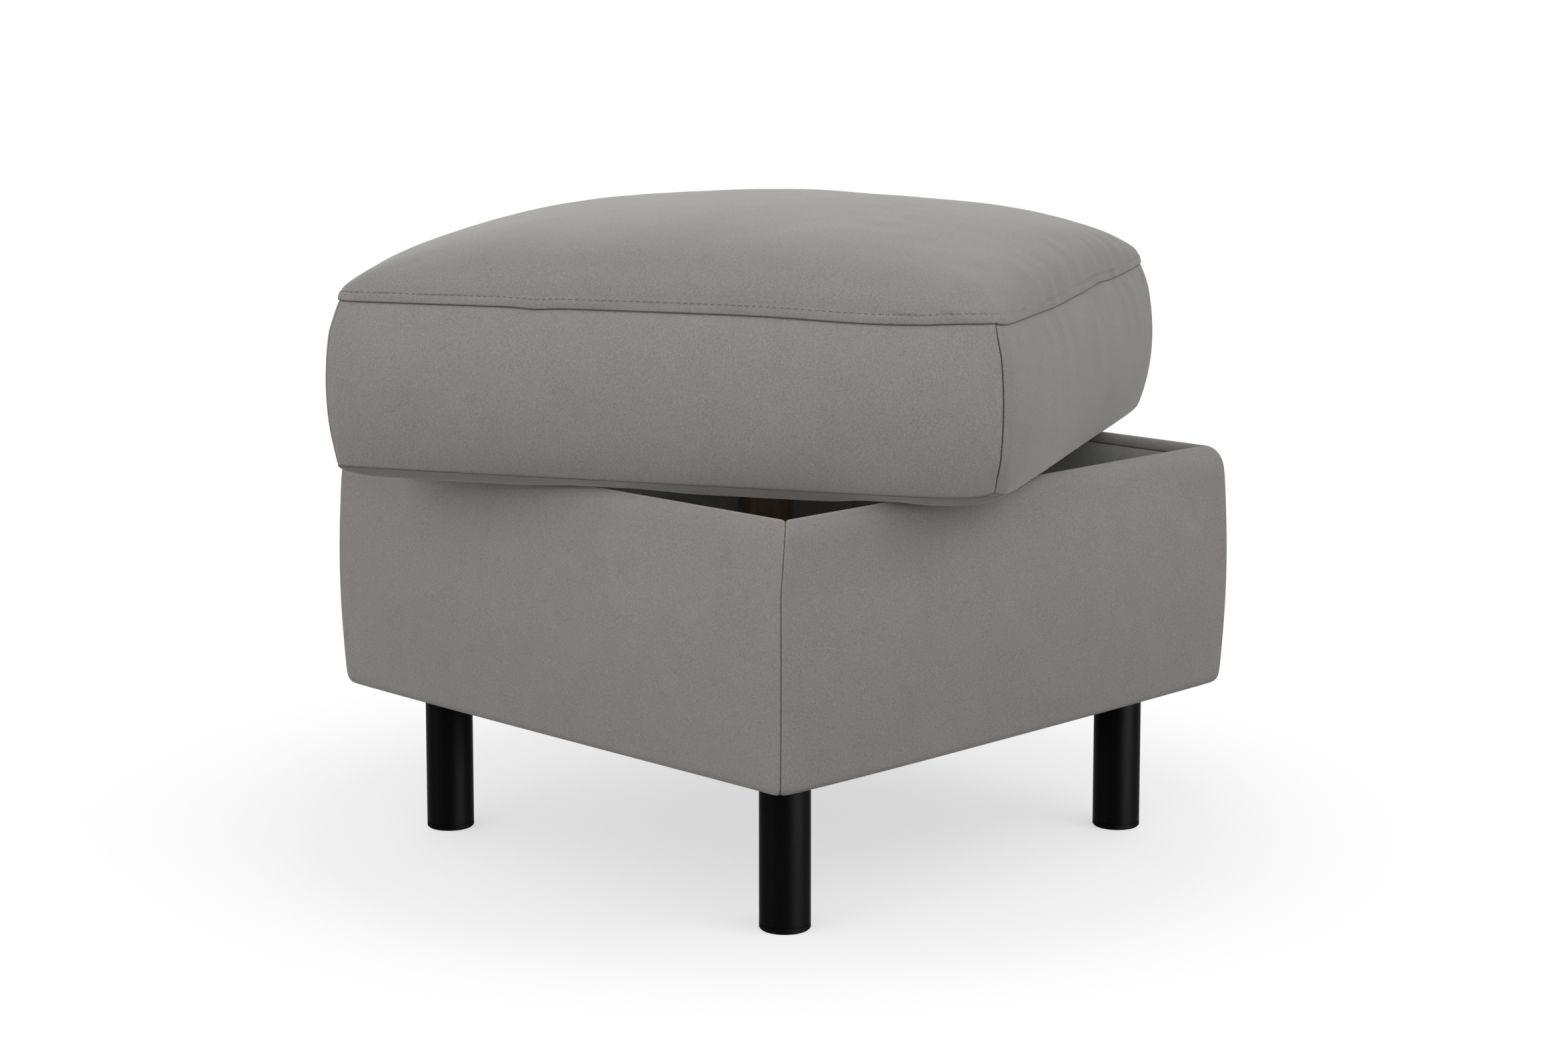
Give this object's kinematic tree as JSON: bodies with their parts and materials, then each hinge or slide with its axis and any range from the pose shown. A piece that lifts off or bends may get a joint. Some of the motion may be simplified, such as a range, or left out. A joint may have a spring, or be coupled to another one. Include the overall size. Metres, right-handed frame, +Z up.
{
  "type": "storage ottoman",
  "caption": "Square upholstered storage box on tube legs, closed by a loose plump box cushion that lifts off and here lies turned on the rim.",
  "frame": {"origin": "on the floor, under the middle of the seat cushion; the box's centre is at X 4 mm, Y -18 mm from it", "axes": "+Z up; X and Y run along the sides of the upholstered box, which are named front (-Y), right (+X), back (+Y) and left (-X); the cushion lies turned 27 degrees anticlockwise about +Z"},
  "size_m": [0.7442, 0.7442, 0.5434],
  "materials": {
    "upholstery_fabric": "matte",
    "foam": "matte",
    "wadding": "matte",
    "lining": "matte",
    "raw_wood": "matte",
    "plywood": "matte",
    "black_metal": "satin",
    "glide_plastic": "matte",
    "plated_steel": "satin",
    "dust_cover": "matte"
  },
  "bodies": {
    "base": {"corner_batten_1": "raw_wood", "corner_batten_2": "raw_wood", "corner_batten_3": "raw_wood", "corner_batten_4": "raw_wood", "cover_panel_back": "upholstery_fabric", "cover_panel_front": "upholstery_fabric", "cover_panel_left": "upholstery_fabric", "cover_panel_right": "upholstery_fabric", "dust_cover": "dust_cover", "floor_board": "plywood", "leg_glide_1": "glide_plastic", "leg_glide_2": "glide_plastic", "leg_glide_3": "glide_plastic", "leg_glide_4": "glide_plastic", "leg_stud_1": "plated_steel", "leg_stud_2": "plated_steel", "leg_stud_3": "plated_steel", "leg_stud_4": "plated_steel", "leg_tube_1": "black_metal", "leg_tube_2": "black_metal", "leg_tube_3": "black_metal", "leg_tube_4": "black_metal", "lining_back": "lining", "lining_floor": "lining", "lining_front": "lining", "lining_left": "lining", "lining_right": "lining", "rim_wadding_back": "wadding", "rim_wadding_front": "wadding", "rim_wadding_left": "wadding", "rim_wadding_right": "wadding", "side_board_back": "plywood", "side_board_front": "plywood", "side_board_left": "plywood", "side_board_right": "plywood", "side_pad_back": "foam", "side_pad_front": "foam", "side_pad_left": "foam", "side_pad_right": "foam", "tee_nut_1": "plated_steel", "tee_nut_2": "plated_steel", "tee_nut_3": "plated_steel", "tee_nut_4": "plated_steel"},
    "cushion": {"cushion_board": "plywood", "cushion_bottom_panel": "upholstery_fabric", "cushion_boxing_back": "upholstery_fabric", "cushion_boxing_front": "upholstery_fabric", "cushion_boxing_left": "upholstery_fabric", "cushion_boxing_right": "upholstery_fabric", "cushion_foam": "foam", "cushion_top_panel": "upholstery_fabric", "cushion_under_pad": "wadding"}
  },
  "joints": [
    {"name": "cushion_lift", "type": "slide", "parent": "base", "child": "cushion", "axis": [0, 0, 1], "range_m": [0, 0.3]}
  ]
}
